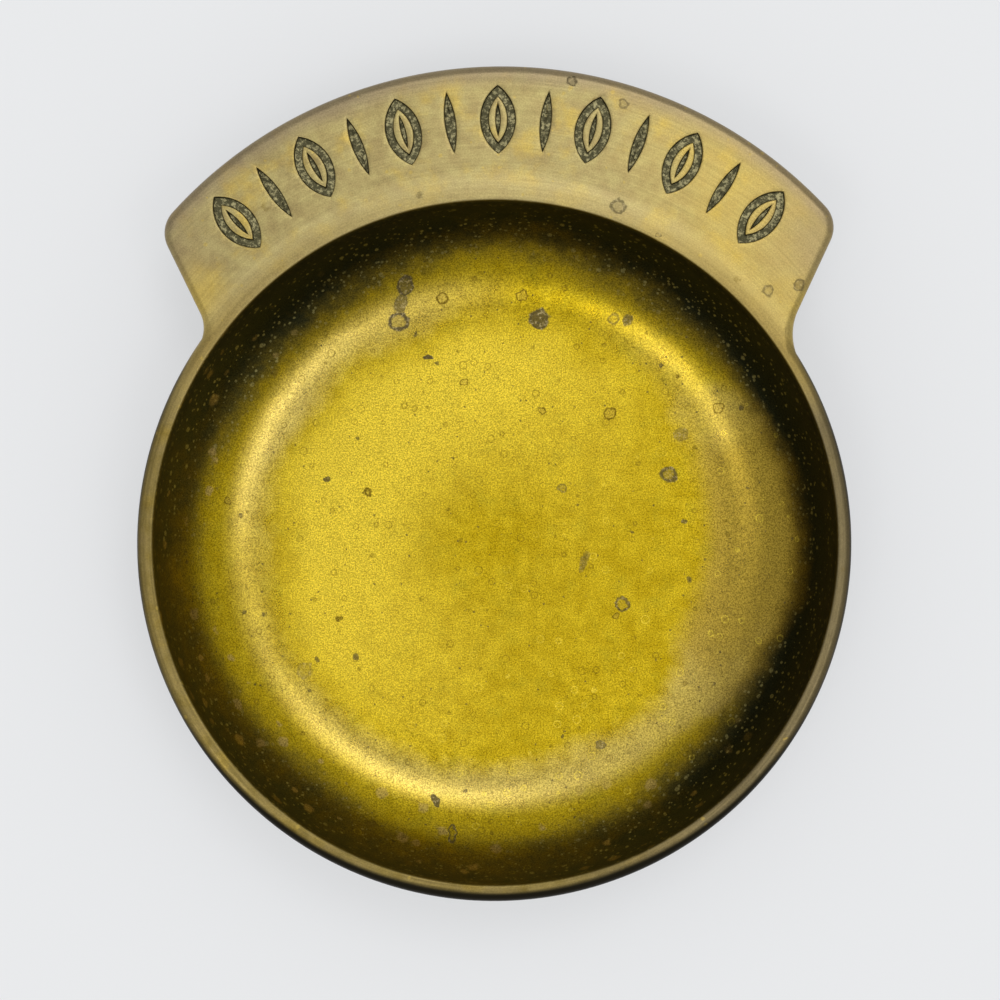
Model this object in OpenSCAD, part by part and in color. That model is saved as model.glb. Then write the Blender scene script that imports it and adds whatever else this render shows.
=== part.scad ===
// Coin tray: a round cast brass bowl with a fan-shaped plate along one side of its rim.
// It stands on a felt disc, which is glued into a recess inside its foot ring.
// Millimetres, +Z up. The origin is on the bowl's axis, where the felt meets the table.
// +Y points from the bowl to the middle of the plate.

/* [Bowl] */
// Diameter over the rim
rim_d = 127; // [105:1:160]
// Height of the rim above the table
rim_h = 24; // [18:0.5:40]
// Thickness of the wall, which is also the width of the rim
wall_t = 2.5; // [2.4:0.1:4]
// Thickness of the floor
floor_t = 2.5; // [2:0.1:4]
// Radius of the cove between the floor and the wall, inside
cove_r = 18.5; // [8:0.5:18.5]
// Outward lean of the wall, in degrees
wall_lean = 4; // [1:0.5:8]
// Radius of the rim's inner edge
lip_r = 0.45; // [0.2:0.05:0.8]
// Radius of the outer edge, along the rim and round the plate
edge_r = 1.6; // [0.8:0.1:1.8]

/* [Foot] */
// Width of the foot ring
foot_w = 3.8; // [2:0.1:8]
// How far the foot ring stands out past the start of the cove
foot_out = 1.6; // [0:0.1:4]
// Depth of the recess inside the foot ring
recess_depth = 1.4; // [0.8:0.1:2]
// Chamfer on the foot ring's lower edges
foot_chamfer = 0.4; // [0.1:0.1:0.8]

/* [Plate] */
// How far the plate reaches past the rim, at its middle
plate_reach = 21.4; // [14:0.2:30]
// Radius of the plate's outer arc
plate_r = 79; // [70:1:90]
// How far the plate's middle lies to the right of the bowl's middle
plate_shift = 1.4; // [0:0.1:3]
// Angle that the plate spans, seen from the centre of its outer arc, in degrees
fan_angle = 100; // [80:1:110]
// Angle between each side of the plate and the plate's middle line, in degrees
side_lean = 25.5; // [15:0.5:35]
// How far the plate's face lies below the top of the rim
plate_drop = 0.1; // [0.05:0.05:0.5]
// Thickness of the plate
plate_t = 3.4; // [2.6:0.1:5]
// Radius of the plate's lower edge
under_edge_r = 0.9; // [0.3:0.1:1]
// Radius of the plate's two outer corners, seen from above
corner_r = 5.5; // [3:0.5:10]
// Radius of the notch between the plate and the rim, on the left
notch_r_left = 6; // [4:0.5:14]
// Radius of the notch between the plate and the rim, on the right
notch_r_right = 10; // [4:0.5:14]
// Radius of the fillet between the bowl's wall and the underside of the plate
gusset_r = 3; // [1:0.5:6]

/* [Border] */
// Space between the plate's outer edge and the sunk border
border_margin = 3.6; // [2.5:0.1:5]
// Angle between the border's last mark and the plate's corner, in degrees
border_end = 7.6; // [6:0.1:12]
// Angle from one mark to the next, in degrees
mark_pitch = 7; // [6.5:0.1:10]
// Length of a leaf, across the border
leaf_h = 12; // [8:0.5:13]
// Width of a leaf
leaf_w = 6.2; // [4:0.1:7]
// Width of the line round a leaf, at its middle
leaf_line = 1.4; // [0.8:0.1:1.6]
// Length of a dart
dart_h = 10.5; // [6:0.5:12]
// Width of a dart
dart_w = 1.9; // [1:0.1:2.2]
// Width of a leaf's vein
vein_w = 0.8; // [0.4:0.1:1.4]
// Length of a leaf's vein
vein_h = 5.5; // [2:0.5:7]
// Depth of the border's marks
mark_depth = 0.8; // [0.4:0.1:1.2]

/* [Felt] */
// Thickness of the felt
felt_t = 1.8; // [1.2:0.1:3]
// Thickness of the glue under the felt
glue_t = 0.2; // [0.1:0.05:0.4]
// Space between the felt's edge and the foot ring
felt_gap = 0.3; // [0.1:0.1:1]
// How far the glue stays back from the felt's edge
glue_inset = 1; // [0.5:0.1:3]

/* [Hidden] */
$fn = 180;
// how far a cut runs past the face it opens
past = 1;
// least flat land on top of the rim, and least height of the leaning wall
land_min = 0.3;
wall_min = 0.2;
brass = "#a89752";
felt_green = "#2f4a36";
glue_amber = "#c9a85a";

rim_r = rim_d / 2;
edge = min(edge_r, wall_t - lip_r - land_min);
// the recess takes the glue and the felt, and the felt stands proud of the foot ring
ceiling_z = felt_t + glue_t;
foot_z = ceiling_z - recess_depth;
floor_z = ceiling_z + floor_t;
// centres of the rim's outer and inner edge arcs, as [radius, height]
roll_c = [rim_r - edge, rim_h - edge];
lip_c = [rim_r - wall_t + lip_r, rim_h - lip_r];
// where the wall meets these arcs, outside and inside
outer_top = roll_c + [edge, 0];
inner_top = lip_c - [lip_r, 0];

// the largest cove that fits between a level and the top of its wall
function cove_limit(z, top) = top[1] - z - wall_min;
// centre of a cove that stands on a level z, under the wall that leans out to the point top,
// to a hundredth of a millimetre
function cove_centre(z, top, r) =
    [round(100 * (top[0] - r - (top[1] - z - r) * tan(wall_lean))) / 100, z + r];

inner_cove = min(cove_r, cove_limit(floor_z, inner_top));
outer_cove = min(inner_cove + wall_t, cove_limit(ceiling_z, outer_top));
inner_c = cove_centre(floor_z, inner_top, inner_cove);
outer_c = cove_centre(ceiling_z, outer_top, outer_cove);

foot_r = outer_c[0] + foot_out;
recess_r = foot_r - foot_w;
felt_r = recess_r - felt_gap;

// The plate is worked out as its right side, with s = 1, and mirrored with s = -1.
plate_y = rim_r + plate_reach - plate_r;
plate_z = rim_h - plate_drop;
out = [cos(side_lean), -sin(side_lean)];
up = [sin(side_lean), cos(side_lean)];
// middle of the land on top of the rim, where the plate's own metal starts
join_r = rim_r - (edge + wall_t - lip_r) / 2;
// how far the notch's arc runs into the rim and into the plate's side
notch_bite = 0.2;
// flats that stand in for a corner's arc
corner_flats = 6;
// how far the flared top of the notch stays below a full quarter turn
flare_drop = 0.1;
// how far the fillet under the plate stays back from the plate's sides
gusset_back = 1.2;
// reach of the shapes that bound the plate
far = 3 * plate_r;
// the border's marks: radius of their middle line, and how many stand on each side of the middle
mark_r = plate_r - border_margin - leaf_h / 2;
mark_side = floor((fan_angle / 2 - border_end) / mark_pitch);

function arc_centre(s) = [s * plate_shift, plate_y];
function side_offset(s) =
    out * (arc_centre(s) + plate_r * [sin(fan_angle / 2), cos(fan_angle / 2)]);
function notch_r(s) = s > 0 ? notch_r_right : notch_r_left;
// centre of the notch's arc, outside the plate's side and outside the rim
function notch_centre(s) =
    let (r = notch_r(s) - notch_bite, a = side_offset(s) + r, b = rim_r + r)
    a * out + sqrt(b * b - a * a) * up;
// centre of the corner's arc, inside the plate's side and inside its outer arc
function corner_centre(s) =
    let (a = side_offset(s) - corner_r - out * arc_centre(s), b = plate_r - corner_r)
    arc_centre(s) + a * out + sqrt(b * b - a * a) * up;
// direction from the outer arc's centre to a corner's centre
function corner_rise(s) =
    let (v = corner_centre(s) - arc_centre(s)) atan2(v[1], v[0]);

// what a rounded corner at [r, r] leaves of its square, for cutting the corner off
module spandrel(r) {
    difference() {
        square(r + past);
        circle(r);
    }
}

// section through the plate, from x0 out to its rounded edge at x1, with its top at 0
module edge_section(x0, x1) {
    difference() {
        translate([x0, -plate_t]) square([x1 - x0, plate_t]);
        translate([x1 - edge, -edge]) spandrel(edge);
        translate([x1 - under_edge_r, under_edge_r - plate_t])
            mirror([0, 1]) spandrel(under_edge_r);
    }
}

// the lower outer quarter of a cove's circle
module cove(c, r) {
    intersection() {
        translate(c) circle(r);
        translate([c[0], c[1] - r]) square(r);
    }
}

module outer_half() {
    polygon([
        [0, ceiling_z], [outer_c[0], ceiling_z], outer_c + [outer_cove, 0],
        outer_top, [roll_c[0], rim_h], [0, rim_h]
    ]);
    cove(outer_c, outer_cove);
    intersection() {
        translate(roll_c) circle(edge);
        translate(roll_c) square(edge);
    }
}

module cavity_half() {
    difference() {
        polygon([
            [0, floor_z], [inner_c[0], floor_z], inner_c + [inner_cove, 0],
            inner_top, [lip_c[0], rim_h], [lip_c[0], rim_h + past], [0, rim_h + past]
        ]);
        translate(lip_c) circle(lip_r);
    }
    cove(inner_c, inner_cove);
}

// the foot ring, which starts half way up inside the floor
module foot_half() {
    root_z = ceiling_z + floor_t / 2;
    polygon([
        [recess_r, root_z], [recess_r, foot_z + foot_chamfer],
        [recess_r + foot_chamfer, foot_z], [foot_r - foot_chamfer, foot_z],
        [foot_r, foot_z + foot_chamfer], [foot_r, root_z]
    ]);
}

module bowl() {
    rotate_extrude() {
        difference() {
            outer_half();
            cavity_half();
        }
        foot_half();
    }
}

// section of the fillet that carries the plate on the outside of the wall
module gusset_half() {
    size = gusset_r + wall_t / 2;
    translate([rim_r - wall_t / 2, plate_z - plate_t - gusset_r]) difference() {
        square([size, gusset_r + under_edge_r]);
        translate([size, 0]) circle(gusset_r);
    }
}

// one side of the plan that the fillet keeps to, set in from the plate's edge
function gusset_side(s) = [
    notch_centre(s) - (notch_r(s) + gusset_back) * out,
    corner_centre(s) + (corner_r - gusset_back) * out
];

module gusset_plan() {
    right = gusset_side(1);
    left = [for (p = gusset_side(-1)) [-p[0], p[1]]];
    polygon([[0, 0], right[0], right[1], [right[1][0], far], [left[1][0], far], left[1], left[0]]);
}

module gusset() {
    intersection() {
        rotate_extrude() gusset_half();
        translate([0, 0, plate_z - plate_t - gusset_r - past])
            linear_extrude(plate_t + gusset_r) gusset_plan();
    }
}

module on_side(s) {
    if (s > 0) children();
    else mirror([1, 0, 0]) children();
}

// everything up to a straight edge that faces the angle a, at its distance from the origin
module up_to(a, distance) {
    rotate([90, 0, a]) linear_extrude(2 * far, center = true) edge_section(-far, distance);
}

// direction that flat number i of a corner faces; number 0 is the plate's straight side
function facing(s, i) = i * (corner_rise(s) + side_lean) / (corner_flats + 1) - side_lean;
function facing_offset(s, i) =
    i == 0 ? side_offset(s)
           : corner_centre(s) * [cos(facing(s, i)), sin(facing(s, i))] + corner_r;

// one side of the plate: its straight edge, and the flats of its corner
module side_limits(s, i = 0) {
    if (i < corner_flats) intersection() {
        up_to(facing(s, i), facing_offset(s, i));
        side_limits(s, i + 1);
    }
    else up_to(facing(s, i), facing_offset(s, i));
}

// the metal that fills the notch between the plate's side and the rim
module notch_web(s) {
    c = notch_centre(s);
    r = notch_r(s);
    reach = 2 * r;
    difference() {
        translate([0, 0, -plate_t]) linear_extrude(plate_t)
            polygon([c, c - reach * out, c - reach * c / norm(c)]);
        translate([c[0], c[1], 0]) notch_cut(r);
    }
}

// what the notch takes away, widening towards the top as the plate's edge does
module notch_cut(r) {
    flare = r + edge;
    rotate_extrude() difference() {
        translate([0, -plate_t - past]) square([flare, plate_t + 2 * past]);
        translate([flare, -edge - flare_drop]) circle(edge);
        translate([r, -plate_t - 2 * past])
            square([edge + past, plate_t + 2 * past - edge - flare_drop]);
    }
}

// the plate, with its top at 0
module plate() {
    difference() {
        union() {
            intersection() {
                translate([plate_shift, plate_y, 0]) rotate_extrude() edge_section(0, plate_r);
                on_side(1) side_limits(1);
                on_side(-1) side_limits(-1);
                translate([-far, 0, -far]) cube(2 * far);
            }
            for (s = [-1, 1]) on_side(s) notch_web(s);
        }
        translate([0, 0, -plate_t - past]) cylinder(r = join_r, h = plate_t + 2 * past);
    }
}

// a pointed leaf shape, drawn in by inset
module leaf(w, h, inset = 0) {
    r = (h * h + w * w) / (4 * w);
    intersection() {
        translate([r - w / 2, 0]) circle(r - inset);
        translate([w / 2 - r, 0]) circle(r - inset);
    }
}

// an outlined leaf with a vein
module leaf_mark() {
    difference() {
        leaf(leaf_w, leaf_h);
        leaf(leaf_w, leaf_h, leaf_line);
    }
    leaf(vein_w, vein_h);
}

module dart_mark() {
    leaf(dart_w, dart_h);
}

// the sunk border: leaves and darts by turns, along the plate's outer arc
module border_cut() {
    translate([plate_shift, plate_y, plate_z - mark_depth])
        for (i = [-mark_side:mark_side])
            rotate(-i * mark_pitch) translate([0, mark_r, 0])
                linear_extrude(mark_depth + past)
                    if (i % 2 == 0) leaf_mark();
                    else dart_mark();
}

module tray_casting() {
    color(brass) difference() {
        union() {
            bowl();
            translate([0, 0, plate_z]) plate();
            gusset();
        }
        border_cut();
    }
}

module base_felt() {
    color(felt_green) cylinder(r = felt_r, h = felt_t);
}

module felt_adhesive() {
    color(glue_amber) translate([0, 0, felt_t]) cylinder(r = felt_r - glue_inset, h = glue_t);
}

tray_casting();
base_felt();
felt_adhesive();
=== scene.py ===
"""Coin tray: a cast brass bowl with a fan-shaped plate, dressed for a view from straight above.

Lengths in the classes are millimetres, as a maker gives them, and go into the meshes in metres.
"""

import logging
import math
from dataclasses import dataclass
from enum import Enum
from typing import Optional, Sequence, Union

import bmesh
import bpy
from mathutils import Matrix, Vector, noise


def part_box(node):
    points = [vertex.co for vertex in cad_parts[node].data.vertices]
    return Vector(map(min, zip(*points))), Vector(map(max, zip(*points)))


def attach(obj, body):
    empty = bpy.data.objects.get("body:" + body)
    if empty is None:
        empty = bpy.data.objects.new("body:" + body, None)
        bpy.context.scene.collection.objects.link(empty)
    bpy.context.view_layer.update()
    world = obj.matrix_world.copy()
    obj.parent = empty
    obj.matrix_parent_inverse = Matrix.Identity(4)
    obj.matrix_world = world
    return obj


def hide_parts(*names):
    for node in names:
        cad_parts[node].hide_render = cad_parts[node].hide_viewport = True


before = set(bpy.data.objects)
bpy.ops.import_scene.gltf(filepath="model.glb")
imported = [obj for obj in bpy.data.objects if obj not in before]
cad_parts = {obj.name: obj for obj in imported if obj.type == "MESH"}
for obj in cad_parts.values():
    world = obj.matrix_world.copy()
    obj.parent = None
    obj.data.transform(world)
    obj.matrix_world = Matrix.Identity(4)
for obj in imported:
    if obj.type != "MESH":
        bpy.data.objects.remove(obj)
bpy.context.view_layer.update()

MM = 0.001
CREASE = 35.0
log = logging.getLogger("coin_tray")

Points = list[tuple[float, float]]
Colour = tuple[float, float, float, float]


class Cut(Enum):
    """What a boolean step does with its tool."""

    JOIN = "UNION"
    TAKE_AWAY = "DIFFERENCE"


def arc(cx: float, cy: float, r: float, start: float, end: float, steps: int) -> Points:
    """Points along a circle's arc.

    Args:
        cx: middle of the circle, across.
        cy: middle of the circle, up.
        r: radius.
        start: first angle, in degrees.
        end: last angle, in degrees.
        steps: how many stretches the arc has.

    Returns:
        The points, both ends included.
    """
    turns = [math.radians(start + (end - start) * i / steps) for i in range(steps + 1)]
    return [(cx + r * math.cos(a), cy + r * math.sin(a)) for a in turns]


def bearing(v: Vector) -> float:
    """Direction of a flat vector, in degrees."""
    return math.degrees(math.atan2(v.y, v.x))


def eased(value: float, low: float, high: float) -> float:
    """How far a value has come from low to high, from 0 to 1, eased at both ends."""
    t = min(max((value - low) / (high - low), 0.0), 1.0)
    return t * t * (3 - 2 * t)


def make_piece(bm: bmesh.types.BMesh, name: str, crease: float) -> bpy.types.Object:
    """Turn a bmesh in millimetres into a smooth-shaded object at the origin.

    Args:
        bm: the shape; it is freed.
        name: the piece's name.
        crease: faces that meet at more than this angle, in degrees, keep a sharp edge.

    Returns:
        The object.
    """
    bmesh.ops.scale(bm, vec=(MM, MM, MM), verts=bm.verts)
    mesh = bpy.data.meshes.new(name)
    bm.to_mesh(mesh)
    bm.free()
    mesh.shade_smooth()
    mesh.set_sharp_from_angle(angle=math.radians(crease))
    piece = bpy.data.objects.new(name, mesh)
    bpy.context.scene.collection.objects.link(piece)
    return piece


def combine(base: bpy.types.Object, tool: bpy.types.Object, cut: Cut) -> None:
    """Join a tool to a base, or take it away, and remove the tool.

    Args:
        base: the object that is kept.
        tool: the object that is used up.
        cut: whether it joins or cuts.
    """
    step = base.modifiers.new("combine", "BOOLEAN")
    step.operation, step.object, step.solver = cut.value, tool, "EXACT"
    graph = bpy.context.evaluated_depsgraph_get()
    made = bpy.data.meshes.new_from_object(base.evaluated_get(graph))
    base.modifiers.clear()
    old, base.data = base.data, made
    bpy.data.meshes.remove(old)
    bpy.data.objects.remove(tool)


def bridge_rings(bm: bmesh.types.BMesh, rings: Sequence[Sequence[Vector]], closed: bool) -> None:
    """Bridge closed rings of points, one after another, into a shell.

    Args:
        bm: the bmesh that takes the shell.
        rings: the rings, all with as many points.
        closed: whether the last ring is bridged to the first; both ends get a face if not.
    """
    loops = []
    for ring in rings:
        verts = [bm.verts.new(p) for p in ring]
        loops.append([bm.edges.new(pair) for pair in zip(verts, verts[1:] + verts[:1])])
    pairs = list(zip(loops, loops[1:]))
    if closed:
        pairs.append((loops[-1], loops[0]))
    for low, high in pairs:
        bmesh.ops.bridge_loops(bm, edges=low + high)
    if not closed:
        bmesh.ops.contextual_create(bm, geom=loops[0])
        bmesh.ops.contextual_create(bm, geom=loops[-1])


@dataclass
class Bowl:
    """The turned part of the casting: floor, cove, wall, rim and foot ring."""

    rim_r: float
    rim_h: float
    wall: float = 2.5
    lean: float = 4.0
    lip_r: float = 0.45
    edge_r: float = 1.6
    floor_z: float = 4.5
    ceiling_z: float = 2.0
    foot_z: float = 0.6
    cove_r: float = 18.5
    outer_cove_r: float = 20.2
    foot_w: float = 3.8
    foot_out: float = 1.6
    foot_chamfer: float = 0.4
    turns: int = 300
    thick_more: float = 0.6
    thin_side: float = 55.0
    thick_start: float = 8.0
    skin_gap: float = 0.15

    def cove_x(self, r: float, top_r: float, top_z: float, level: float) -> float:
        """Where the middle of a cove stands that ends in the leaning wall, from the bowl's axis."""
        return top_r - r - (top_z - level - r) * math.tan(math.radians(self.lean))

    @property
    def foot_r(self) -> float:
        """Outer radius of the foot ring.

        Returns:
            The radius.
        """
        roll_z = self.rim_h - self.edge_r
        outer = self.cove_x(self.outer_cove_r, self.rim_r, roll_z, self.ceiling_z)
        return outer + self.foot_out

    @property
    def recess_r(self) -> float:
        """Radius of the recess inside the foot ring."""
        return self.foot_r - self.foot_w

    def section(self) -> Points:
        """Half of the bowl's section.

        Returns:
            Points from mid-floor round to the middle of the underside.
        """
        lip = (self.rim_r - self.wall + self.lip_r, self.rim_h - self.lip_r)
        roll = (self.rim_r - self.edge_r, self.rim_h - self.edge_r)
        inner = self.cove_x(self.cove_r, lip[0] - self.lip_r, lip[1], self.floor_z)
        outer = self.foot_r - self.foot_out
        chamfer = self.foot_chamfer
        cove_top = self.ceiling_z + self.outer_cove_r
        meet = -90 + math.degrees(math.asin(self.foot_out / self.outer_cove_r))
        floor_rings, ceiling_rings = 16, 8
        return [
            *[(inner * i / floor_rings, self.floor_z) for i in range(floor_rings)],
            *arc(inner, self.floor_z + self.cove_r, self.cove_r, -90, 0, 36),
            *arc(*lip, self.lip_r, 180, 90, 5),
            *arc(*roll, self.edge_r, 90, 0, 10),
            *arc(outer, cove_top, self.outer_cove_r, 0, meet, 26),
            (self.foot_r, self.foot_z + chamfer),
            (self.foot_r - chamfer, self.foot_z),
            (self.recess_r + chamfer, self.foot_z),
            (self.recess_r, self.foot_z + chamfer),
            *[
                (self.recess_r * i / ceiling_rings, self.ceiling_z)
                for i in range(ceiling_rings, -1, -1)
            ],
        ]

    def build(self) -> bpy.types.Object:
        """Spin the section into a closed shell.

        Returns:
            The shell.
        """
        bm = bmesh.new()
        verts = [bm.verts.new((x, 0, z)) for x, z in self.section()]
        for pair in zip(verts, verts[1:]):
            bm.edges.new(pair)
        bmesh.ops.spin(
            bm, geom=bm.verts[:] + bm.edges[:], cent=(0, 0, 0), axis=(0, 0, 1),
            angle=2 * math.pi, steps=self.turns, use_merge=True,
        )
        bmesh.ops.remove_doubles(bm, verts=bm.verts, dist=0.001)
        self.thicken(bm)
        bmesh.ops.recalc_face_normals(bm, faces=bm.faces)
        return make_piece(bm, "bowl_shell", CREASE)

    def thicken(self, bm: bmesh.types.BMesh) -> None:
        """Draw the inside of the wall in a little, most of all opposite the wall's thin side.

        Args:
            bm: the bowl's mesh.
        """
        lip_r, lip_z = self.rim_r - self.wall, self.rim_h - self.lip_r
        cove_x = self.cove_x(self.cove_r, lip_r, lip_z, self.floor_z)
        middle = Vector((cove_x, self.floor_z + self.cove_r))
        skin = self.cove_r + self.lip_r + self.skin_gap
        for v in bm.verts:
            out = v.co.xy.length
            on_inside = (Vector((out, v.co.z)) - middle).length < skin
            if on_inside and out > middle.x:
                away = 1 - math.cos(math.radians(bearing(v.co.xy) - self.thin_side))
                draw = self.thick_more / 2 * away * eased(out, middle.x + self.thick_start, lip_r)
                v.co.xy *= 1 - draw / out


@dataclass
class Plate:
    """The fan-shaped plate, which rounds over at its edge and runs into the rim."""

    rim_r: float
    rim_h: float
    far_y: float
    arc_r: float = 79.0
    shift: float = 1.4
    fan: float = 100.0
    side_lean: float = 25.5
    drop: float = 0.1
    thick: float = 3.4
    edge_r: float = 1.6
    under_r: float = 0.9
    corner_r: float = 5.5
    notch_left: float = 6.0
    notch_right: float = 10.0
    bite: float = 0.2
    root: float = 1.7
    slope_end: float = 66.5
    slope_share: float = 0.9
    grid: float = 1.0

    @property
    def face_z(self) -> float:
        """Height of the plate's face."""
        return self.rim_h - self.drop

    @property
    def centre_y(self) -> float:
        """Where the middle of the outer arc lies, along +Y."""
        return self.far_y - self.arc_r

    def half(self, side: int) -> Points:
        """One side's outline, from the middle of the outer arc down into the rim.

        Args:
            side: 1 for the right side, -1 for the left.

        Returns:
            The points, drawn for the right side.
        """
        centre = Vector((side * self.shift, self.centre_y))
        lean, spread = math.radians(self.side_lean), math.radians(self.fan / 2)
        out = Vector((math.cos(lean), -math.sin(lean)))
        up = Vector((math.sin(lean), math.cos(lean)))
        offset = out.dot(centre + self.arc_r * Vector((math.sin(spread), math.cos(spread))))

        across = offset - self.corner_r - out.dot(centre)
        rise = math.sqrt((self.arc_r - self.corner_r) ** 2 - across ** 2)
        corner = centre + across * out + rise * up

        notch_r = self.notch_right if side > 0 else self.notch_left
        across = offset + notch_r
        rise = math.sqrt((self.rim_r + notch_r - self.bite) ** 2 - across ** 2)
        notch = across * out + rise * up

        turn = bearing(corner - centre)
        flank = bearing(out)
        middle = bearing(Vector((0, self.far_y)) - centre)
        return [
            *arc(*centre, self.arc_r, middle, turn, 64)[:-1],
            *arc(*corner, self.corner_r, turn, flank, 12),
            *arc(*notch, notch_r, flank + 180, bearing(-notch) % 360, 14),
        ]

    def outline(self) -> Points:
        """The whole outline.

        Returns:
            The right side, the root inside the rim, and the left side.
        """
        right, left = self.half(1), [(-x, y) for x, y in self.half(-1)]
        start, end = bearing(Vector(right[-1])), bearing(Vector(left[-1]))
        root = arc(0, 0, self.rim_r - self.root, start, end, 110)
        return [*right, *root, *left[:0:-1]]

    def build(self) -> bpy.types.Object:
        """Extrude the outline, round its edges over and cut its faces into a fine grid.

        Returns:
            The plate, without its border.
        """
        bm = bmesh.new()
        outline = self.outline()
        sole = bm.faces.new([bm.verts.new((x, y, self.face_z - self.thick)) for x, y in outline])
        raised = bmesh.ops.extrude_face_region(bm, geom=[sole])["geom"]
        top = [g for g in raised if isinstance(g, bmesh.types.BMVert)]
        bmesh.ops.translate(bm, vec=(0, 0, self.thick), verts=top)
        bmesh.ops.recalc_face_normals(bm, faces=bm.faces)

        def rim_edges(z: float) -> list[bmesh.types.BMEdge]:
            """Edges of the outline at one height, without those of the root."""
            inside = self.rim_r - self.root / 2
            return [
                e for e in bm.edges
                if all(abs(v.co.z - z) < 0.01 for v in e.verts)
                and max(v.co.xy.length for v in e.verts) > inside
                and len(e.link_faces) == 2
            ]

        for z, r, steps in (
            (self.face_z, self.edge_r, 8),
            (self.face_z - self.thick, self.under_r, 4),
        ):
            bmesh.ops.bevel(
                bm, geom=rim_edges(z), offset=r, offset_type="OFFSET", segments=steps,
                profile=0.5, affect="EDGES", material=-1, clamp_overlap=False,
            )
        self.cut_grid(bm)
        for v in bm.verts:
            if v.co.z > self.face_z - 0.001:
                fall = eased(v.co.xy.length, self.rim_r - self.root, self.slope_end)
                v.co.z += self.slope_share * self.drop * (1 - fall)
        return make_piece(bm, "plate_shell", CREASE)

    def cut_grid(self, bm: bmesh.types.BMesh) -> None:
        """Cut the plate along straight lines, so that its faces can bend a little.

        Args:
            bm: the plate's mesh.
        """
        for axis in (0, 1):
            low = min(v.co[axis] for v in bm.verts)
            high = max(v.co[axis] for v in bm.verts)
            normal = Vector((1, 0, 0)) if axis == 0 else Vector((0, 1, 0))
            for i in range(1, int((high - low) / self.grid)):
                bmesh.ops.bisect_plane(
                    bm, geom=bm.verts[:] + bm.edges[:] + bm.faces[:], dist=0.001,
                    plane_co=normal * (low + i * self.grid), plane_no=normal,
                )


@dataclass
class Border:
    """The sunk border: leaves and darts by turns, along the plate's outer arc."""

    centre: tuple[float, float]
    arc_r: float
    face_z: float
    margin: float = 3.6
    pitch: float = 7.0
    side_marks: int = 6
    leaf: tuple[float, float] = (6.2, 12.0)
    line: float = 1.4
    dart: tuple[float, float] = (1.9, 10.5)
    vein: tuple[float, float] = (0.8, 5.5)
    depth: float = 0.8
    round_r: float = 0.22
    draft: float = 0.12
    rough: float = 0.16
    rough_waves: tuple[float, float] = (1.9, 4.3)
    stand: float = 0.6
    arc_points: int = 30

    def ring(self, size: tuple[float, float], inset: float, z: float) -> list[Vector]:
        """A pointed leaf shape's outline.

        Args:
            size: the leaf's width and length.
            inset: how far the outline is drawn in.
            z: its height.

        Returns:
            The points, all the way round.
        """
        w, h = size
        r = (h * h + w * w) / (4 * w)
        offset = r - w / 2
        reach = math.degrees(math.acos(min(offset / (r - inset), 1.0)))
        right = arc(-offset, 0, r - inset, -reach, reach, self.arc_points)[:-1]
        return [Vector((x, y, z)) for x, y in right + [(-x, -y) for x, y in right]]

    def edge_steps(self, way: int, start: float) -> list[tuple[float, float]]:
        """How a wall goes down from the face: a rounded edge, then a slightly slanting wall.

        Args:
            way: 1 where the mark lies inside the outline, -1 where it lies outside.
            start: inset of the wall.

        Returns:
            Pairs of inset and height below the face, from the top down.
        """
        r = self.round_r
        turns = [math.radians(a) for a in (90, 68, 45, 22, 0)]
        rounded = [(start + way * (r * math.cos(a) - r), r * math.sin(a) - r) for a in turns]
        return [(rounded[0][0], self.stand), *rounded, (start + way * self.draft, -self.depth)]

    def outlined(self, bm: bmesh.types.BMesh) -> None:
        """The cutter of a leaf's outline, which leaves the leaf's middle standing.

        Args:
            bm: the mesh that takes it.
        """
        outer = self.edge_steps(1, 0)
        inner = self.edge_steps(-1, self.line)
        low, high = outer[-1][0], inner[-1][0]
        floor = [(low + (high - low) * i / 6, -self.depth) for i in range(1, 6)]
        steps = [*outer, *floor, *reversed(inner)]
        bridge_rings(bm, [self.ring(self.leaf, i, z) for i, z in steps], closed=True)

    def solid(self, bm: bmesh.types.BMesh, size: tuple[float, float]) -> None:
        """The cutter of a filled leaf shape.

        Args:
            bm: the mesh that takes it.
            size: its width and length.
        """
        steps = self.edge_steps(1, 0)
        low, high = steps[-1][0], size[0] / 2 * 0.8
        floor = [(low + (high - low) * i / 4, -self.depth) for i in range(1, 5)]
        bridge_rings(bm, [self.ring(size, i, z) for i, z in steps + floor], closed=False)

    def build(self) -> bpy.types.Object:
        """All the cutters, with rough undersides.

        Returns:
            The cutters in one object.
        """
        bm = bmesh.new()
        middle = self.arc_r - self.margin - self.leaf[1] / 2
        for i in range(-self.side_marks, self.side_marks + 1):
            before = set(bm.verts)
            if i % 2 == 0:
                self.outlined(bm)
                self.solid(bm, self.vein)
            else:
                self.solid(bm, self.dart)
            new = [v for v in bm.verts if v not in before]
            bmesh.ops.translate(bm, vec=(0, middle, 0), verts=new)
            turned = Matrix.Rotation(math.radians(-i * self.pitch), 3, "Z")
            bmesh.ops.rotate(bm, cent=(0, 0, 0), matrix=turned, verts=new)
        long_wave, short_wave = self.rough_waves
        for v in bm.verts:
            if v.co.z < -0.9 * self.depth:
                swell = self.rough * noise.noise(v.co * long_wave)
                v.co.z += swell + 0.5 * self.rough * noise.noise(v.co * short_wave)
        bmesh.ops.translate(bm, vec=(*self.centre, self.face_z), verts=bm.verts)
        bmesh.ops.recalc_face_normals(bm, faces=bm.faces)
        return make_piece(bm, "border_cutters", CREASE)


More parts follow.
